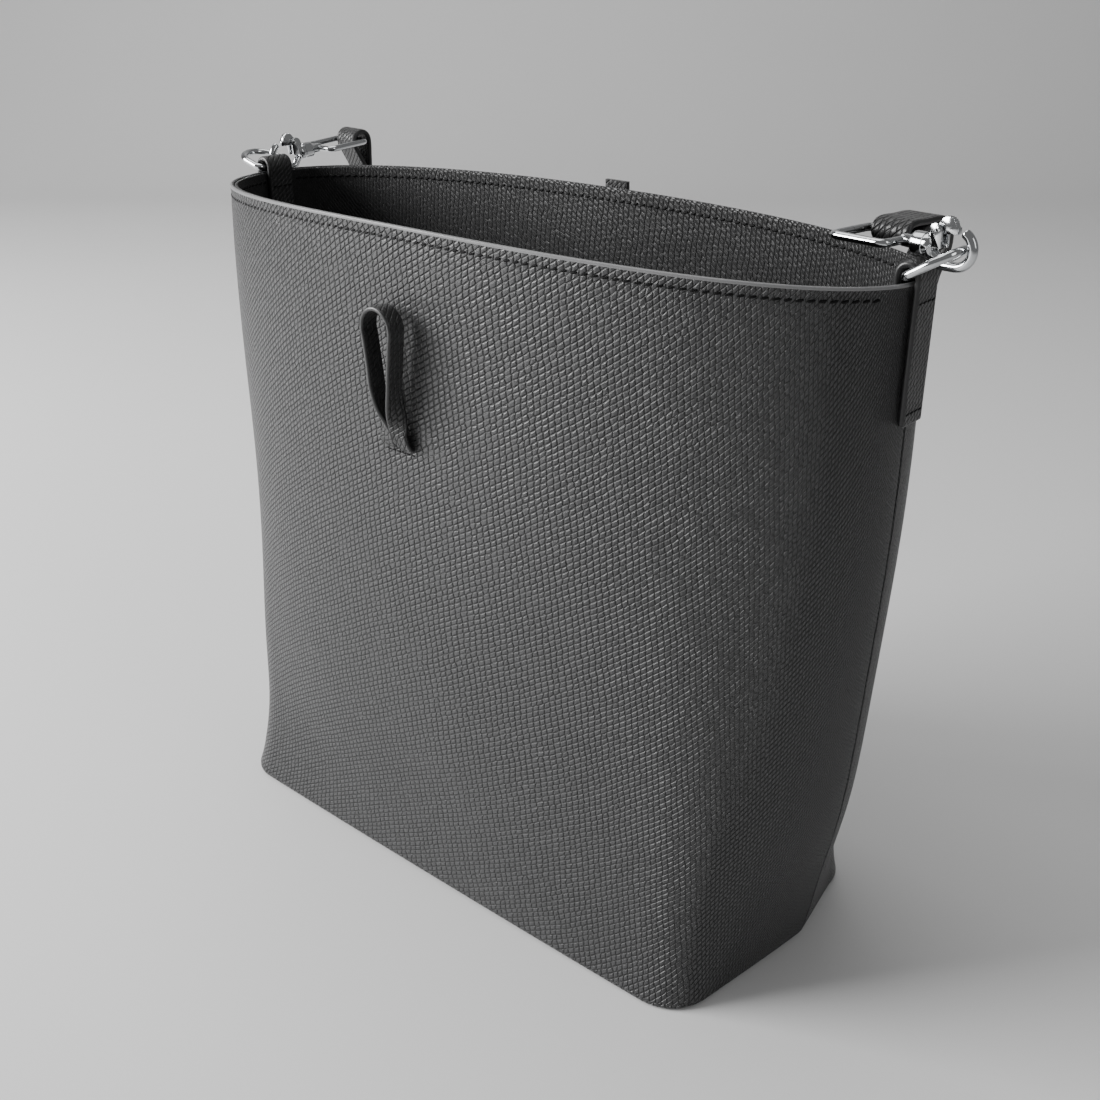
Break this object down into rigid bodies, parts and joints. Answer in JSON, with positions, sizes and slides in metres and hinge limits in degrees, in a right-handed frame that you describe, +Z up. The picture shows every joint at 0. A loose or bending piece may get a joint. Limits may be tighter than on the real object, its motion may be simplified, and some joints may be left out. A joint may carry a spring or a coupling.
{
  "type": "shoulder bag",
  "caption": "Open-topped grained-leather bucket bag with a front closure loop, a toggle strap, side tabs with D-rings and a hook-on shoulder strap.",
  "frame": {"origin": "middle of the underside, where the bag stands", "axes": "+X along the width to the right seen from the front, +Y to the back, +Z up"},
  "size_m": [0.3565, 0.1626, 0.296],
  "materials": {
    "leather": "black grained leather, satin",
    "lining": "black grained leather, matt",
    "board": "stiff fibre board",
    "chrome": "polished, bright",
    "spring_steel": "drawn wire",
    "toggle": "polished black"
  },
  "bodies": {
    "bag": {"base_panel": "leather", "base_board": "board", "base_lining": "lining", "front_panel": "leather", "back_panel": "leather", "front_lining": "lining", "back_lining": "lining", "closure_loop": "leather", "left_tab": "leather", "right_tab": "leather", "toggle_anchor": "leather"},
    "toggle": {"toggle_strap": "leather"},
    "toggle_roller": {"toggle_bar": "toggle"},
    "strap": {"shoulder_strap": "leather"},
    "left_ring": {"left_d_ring": "chrome"},
    "left_hook": {"left_hook_body": "chrome", "left_gate_pin": "chrome", "left_gate_spring": "spring_steel"},
    "left_gate": {"left_hook_gate": "chrome"},
    "left_eye": {"left_swivel_eye": "chrome"},
    "right_ring": {"right_d_ring": "chrome"},
    "right_hook": {"right_hook_body": "chrome", "right_gate_pin": "chrome", "right_gate_spring": "spring_steel"},
    "right_gate": {"right_hook_gate": "chrome"},
    "right_eye": {"right_swivel_eye": "chrome"}
  },
  "joints": [
    {"name": "strap_swing", "type": "hinge", "parent": "bag", "child": "strap", "pos_m": [-0.16257, 0.04524, 0.28398], "axis": [0.9889, -0.1481, 0.0076], "range_deg": [0, 190]},
    {"name": "toggle_swing", "type": "hinge", "parent": "bag", "child": "toggle", "pos_m": [0, 0.045, 0.2815], "axis": [1, 0, 0], "range_deg": [0, 250]},
    {"name": "toggle_roll", "type": "hinge", "parent": "toggle", "child": "toggle_roller", "pos_m": [0, 0.05413, 0.13774], "axis": [1, 0, 0], "continuous": true},
    {"name": "left_ring_swing", "type": "hinge", "parent": "bag", "child": "left_ring", "pos_m": [-0.1599, -0.0052, 0.2777], "axis": [0, 1, 0], "range_deg": [-8, 8]},
    {"name": "left_hook_tilt", "type": "hinge", "parent": "left_ring", "child": "left_hook", "pos_m": [-0.16763, 0.00355, 0.27977], "axis": [0.9926, -0.1213, 0.0103], "range_deg": [-1, 1]},
    {"name": "left_eye_swivel", "type": "hinge", "parent": "left_hook", "child": "left_eye", "pos_m": [-0.16763, 0.00355, 0.27977], "axis": [-0.1197, -0.9878, -0.0998], "range_deg": [-8, 8]},
    {"name": "left_gate_open", "type": "hinge", "parent": "left_hook", "child": "left_gate", "pos_m": [-0.16678, 0.011, 0.28615], "axis": [0.9926, -0.1213, 0.0103], "range_deg": [0, 20], "stiffness_Nm_per_rad": 0.01, "springref_deg": -17.19},
    {"name": "right_ring_swing", "type": "hinge", "parent": "bag", "child": "right_ring", "pos_m": [0.1599, -0.0052, 0.2777], "axis": [0, 1, 0], "range_deg": [-8, 3]},
    {"name": "right_hook_tilt", "type": "hinge", "parent": "right_ring", "child": "right_hook", "pos_m": [0.1741, -0.0052, 0.28658], "axis": [0, 1, 0], "range_deg": [-4.4, 4.4]},
    {"name": "right_eye_swivel", "type": "hinge", "parent": "right_hook", "child": "right_eye", "pos_m": [0.1741, -0.0052, 0.28658], "axis": [0.9889, -0.1481, 0.0076], "range_deg": [0, 190]},
    {"name": "right_gate_open", "type": "hinge", "parent": "right_hook", "child": "right_gate", "pos_m": [0.16605, -0.004, 0.29211], "axis": [0.1481, 0.989, 0.0011], "range_deg": [0, 20], "stiffness_Nm_per_rad": 0.01, "springref_deg": -17.19}
  ],
  "couplings": [
    {"joint": "left_hook_tilt", "follows": "left_ring_swing", "ratio": -0.064},
    {"joint": "right_hook_tilt", "follows": "right_ring_swing", "ratio": -0.549},
    {"joint": "right_eye_swivel", "follows": "strap_swing", "ratio": 1}
  ]
}
